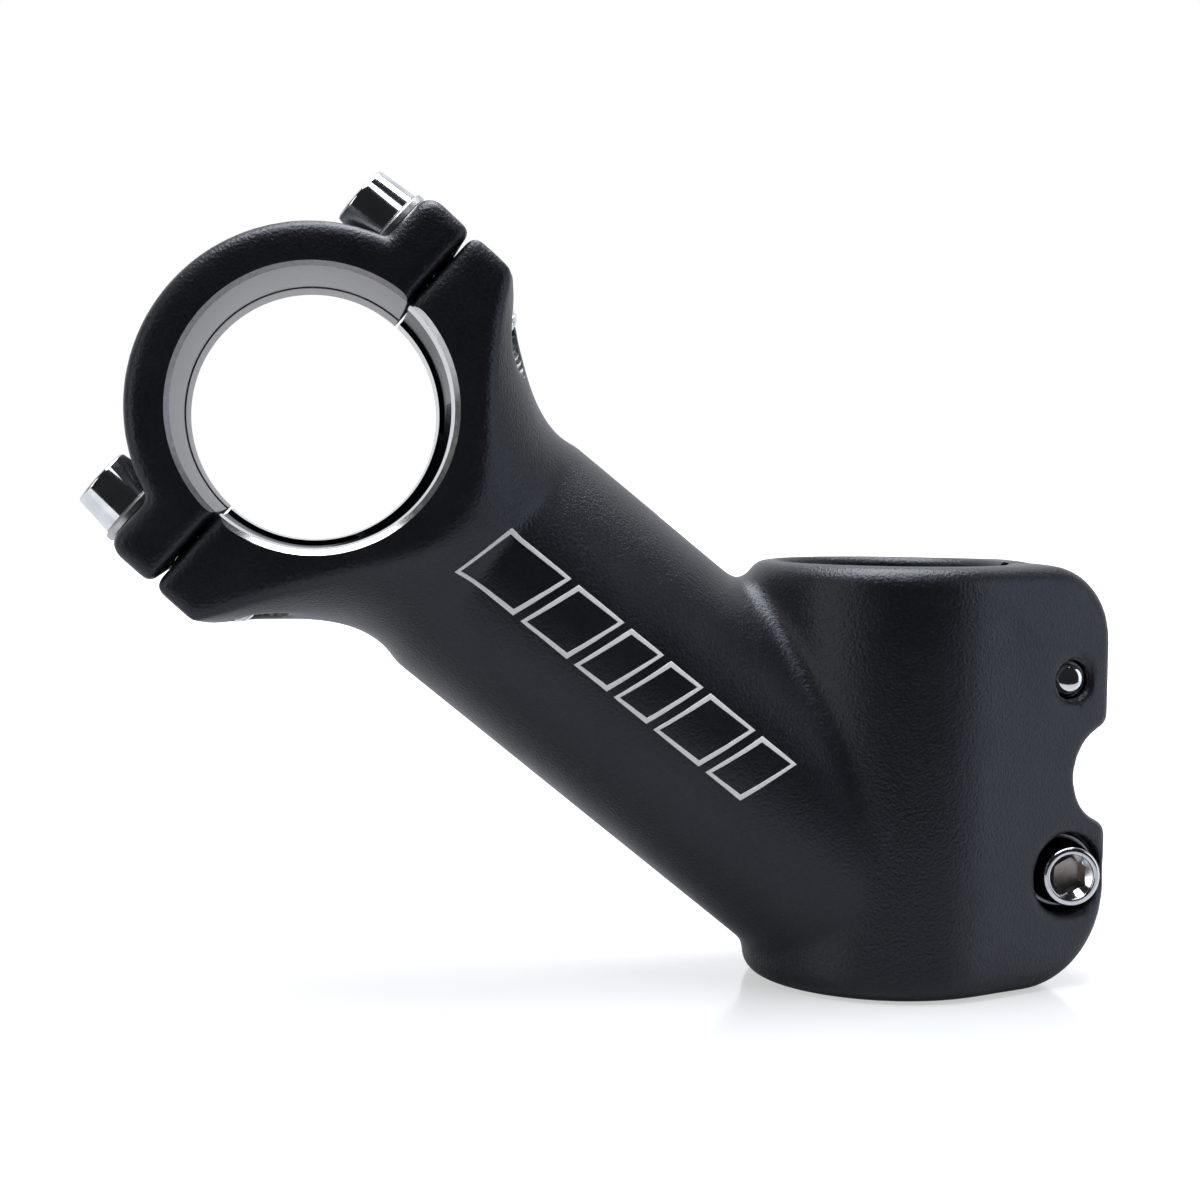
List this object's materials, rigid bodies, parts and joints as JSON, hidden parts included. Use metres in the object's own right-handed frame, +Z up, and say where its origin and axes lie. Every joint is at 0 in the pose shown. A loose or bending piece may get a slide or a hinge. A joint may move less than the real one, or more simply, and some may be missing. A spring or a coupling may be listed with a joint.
{
  "type": "bicycle handlebar stem",
  "caption": "Raised threadless bicycle stem: bolted faceplate clamps the handlebar, a slotted barrel with opposed pinch bolts grips the steerer, a straight neck joins them.",
  "frame": {"origin": "on the axis of the steerer bore, midway between the barrel's two end faces", "axes": "+Z up along the steerer bore, -X towards the handlebar, Y along the handlebar's axis with -Y on the rider's left"},
  "size_m": [0.1255, 0.042, 0.0977],
  "materials": {
    "painted_body": "satin black paint over aluminium",
    "bolt_chrome": "bright chrome plate on steel",
    "washer_steel": "zinc-bright steel"
  },
  "bodies": {
    "root": {"stem_body": "painted_body"},
    "faceplate": {"faceplate": "painted_body", "faceplate_washer_lower_left": "washer_steel", "faceplate_washer_lower_right": "washer_steel", "faceplate_washer_upper_left": "washer_steel", "faceplate_washer_upper_right": "washer_steel"},
    "faceplate_bolt_lower_left": {"faceplate_bolt_lower_left": "bolt_chrome"},
    "faceplate_bolt_lower_right": {"faceplate_bolt_lower_right": "bolt_chrome"},
    "faceplate_bolt_upper_left": {"faceplate_bolt_upper_left": "bolt_chrome"},
    "faceplate_bolt_upper_right": {"faceplate_bolt_upper_right": "bolt_chrome"},
    "pinch_washer_lower": {"pinch_washer_lower": "washer_steel"},
    "pinch_bolt_lower": {"pinch_bolt_lower": "bolt_chrome"},
    "pinch_washer_upper": {"pinch_washer_upper": "washer_steel"},
    "pinch_bolt_upper": {"pinch_bolt_upper": "bolt_chrome"}
  },
  "joints": [
    {"name": "faceplate_slide", "type": "slide", "parent": "root", "child": "faceplate", "axis": [-0.7466, 0, 0.6652], "range_m": [0, 0.004]},
    {"name": "faceplate_bolt_lower_left_turn", "type": "hinge", "parent": "faceplate", "child": "faceplate_bolt_lower_left", "pos_m": [-0.09256, -0.013, 0.03203], "axis": [-0.7466, 0, 0.6652], "continuous": true},
    {"name": "faceplate_bolt_lower_right_turn", "type": "hinge", "parent": "faceplate", "child": "faceplate_bolt_lower_right", "pos_m": [-0.09256, 0.013, 0.03203], "axis": [-0.7466, 0, 0.6652], "continuous": true},
    {"name": "faceplate_bolt_upper_left_turn", "type": "hinge", "parent": "faceplate", "child": "faceplate_bolt_upper_left", "pos_m": [-0.06329, -0.013, 0.06488], "axis": [-0.7466, 0, 0.6652], "continuous": true},
    {"name": "faceplate_bolt_upper_right_turn", "type": "hinge", "parent": "faceplate", "child": "faceplate_bolt_upper_right", "pos_m": [-0.06329, 0.013, 0.06488], "axis": [-0.7466, 0, 0.6652], "continuous": true},
    {"name": "pinch_lower_back_out", "type": "slide", "parent": "root", "child": "pinch_washer_lower", "axis": [0, -1, 0], "range_m": [0, 0.005]},
    {"name": "pinch_bolt_lower_turn", "type": "hinge", "parent": "pinch_washer_lower", "child": "pinch_bolt_lower", "pos_m": [0.0203, 0, -0.01213], "axis": [0, -1, 0], "continuous": true},
    {"name": "pinch_upper_back_out", "type": "slide", "parent": "root", "child": "pinch_washer_upper", "axis": [0, 1, 0], "range_m": [0, 0.005]},
    {"name": "pinch_bolt_upper_turn", "type": "hinge", "parent": "pinch_washer_upper", "child": "pinch_bolt_upper", "pos_m": [0.0203, 0, 0.01213], "axis": [0, 1, 0], "continuous": true}
  ],
  "couplings": [
    {"joint": "faceplate_bolt_lower_left_turn", "follows": "faceplate_slide", "rad_per_m": 7854},
    {"joint": "faceplate_bolt_lower_right_turn", "follows": "faceplate_slide", "rad_per_m": 7854},
    {"joint": "faceplate_bolt_upper_left_turn", "follows": "faceplate_slide", "rad_per_m": 7854},
    {"joint": "faceplate_bolt_upper_right_turn", "follows": "faceplate_slide", "rad_per_m": 7854},
    {"joint": "pinch_bolt_lower_turn", "follows": "pinch_lower_back_out", "rad_per_m": 7854},
    {"joint": "pinch_bolt_upper_turn", "follows": "pinch_upper_back_out", "rad_per_m": 7854}
  ]
}
